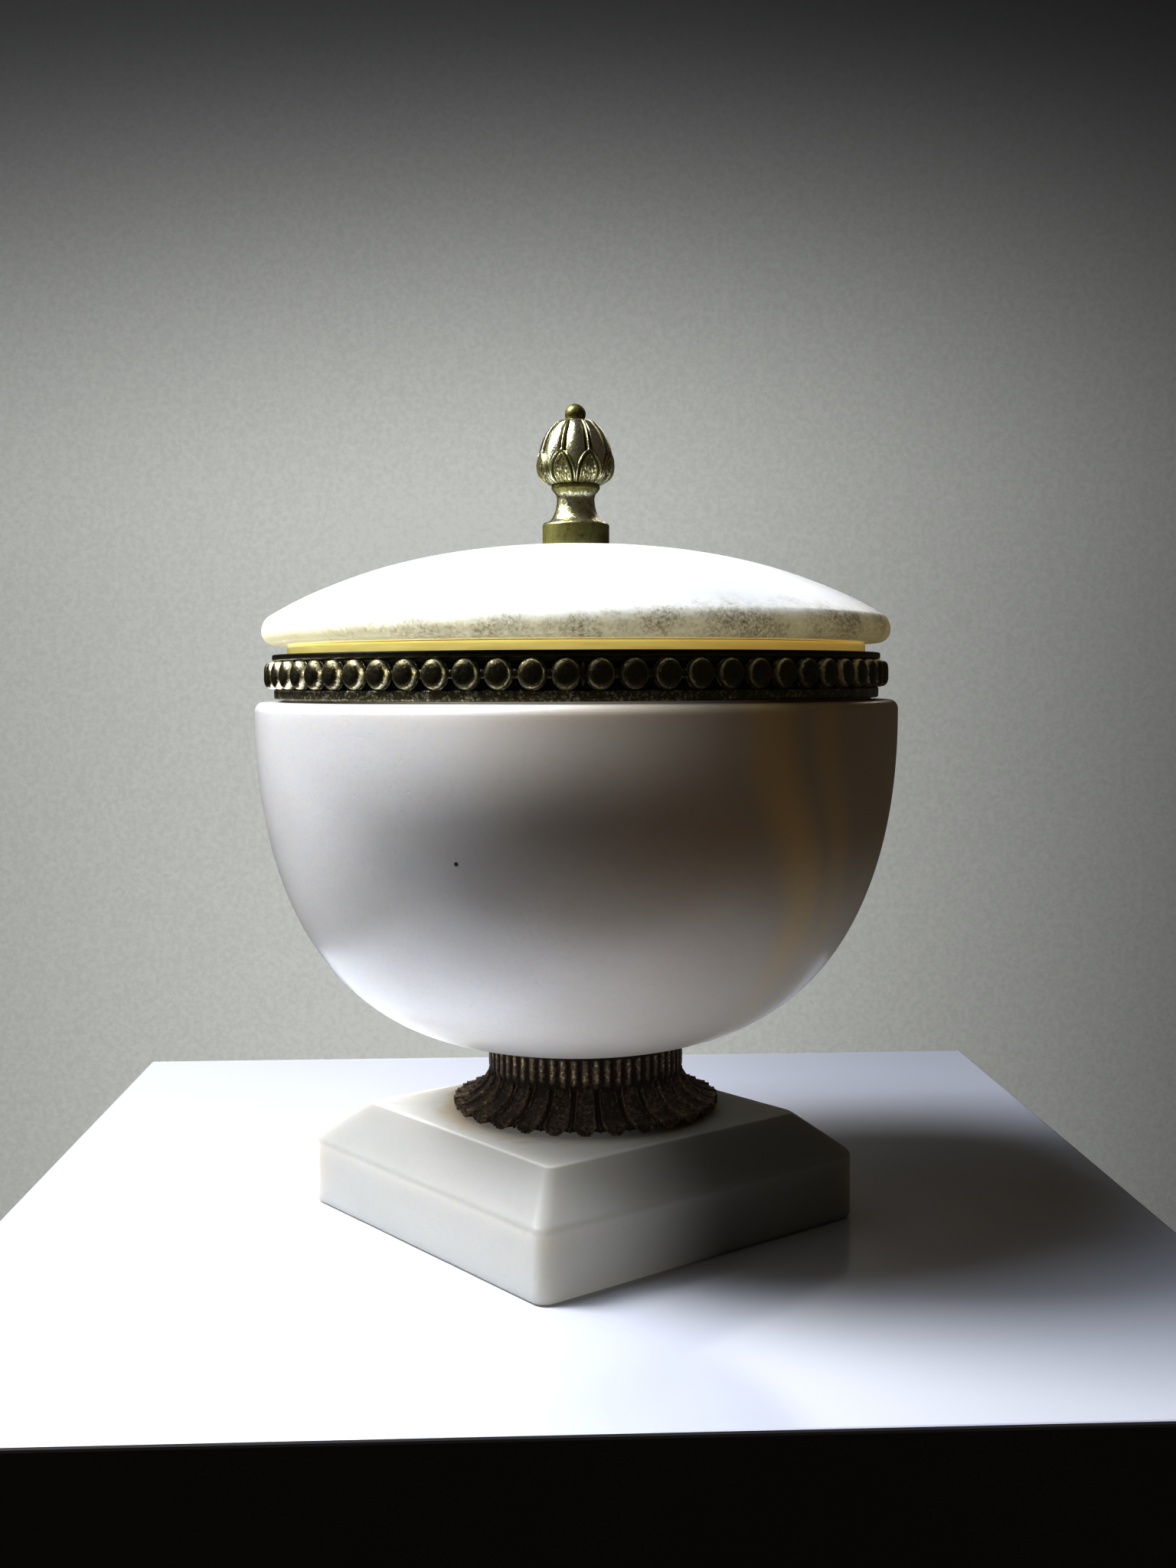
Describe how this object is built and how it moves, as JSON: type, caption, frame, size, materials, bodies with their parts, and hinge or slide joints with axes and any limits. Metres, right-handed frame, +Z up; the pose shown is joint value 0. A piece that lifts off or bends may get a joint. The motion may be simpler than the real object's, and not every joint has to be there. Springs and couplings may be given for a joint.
{
  "type": "alabaster bonbonniere",
  "caption": "Lidded alabaster bowl with brass mounts and a bud finial, raised on a leaf-cast foot and a square alabaster plinth.",
  "frame": {"origin": "centre of the plinth's underside", "axes": "+Z up along the bowl's axis, +X and +Y along the plinth's sides"},
  "size_m": [0.15, 0.15, 0.1922],
  "materials": {
    "plinth_alabaster": "polished pale grey-green alabaster",
    "foot_brass": "dark antique cast brass, gilt on the raised edges",
    "bowl_alabaster": "polished veined alabaster",
    "band_brass": "dull antique brass",
    "lid_alabaster": "polished alabaster, speckled grey at the edge",
    "finial_brass": "bright polished brass, dark in the recesses"
  },
  "bodies": {
    "root": {"plinth": "plinth_alabaster", "leaf_foot": "foot_brass", "bowl": "bowl_alabaster", "beaded_band": "band_brass", "lid": "lid_alabaster", "finial": "finial_brass"}
  },
  "joints": []
}
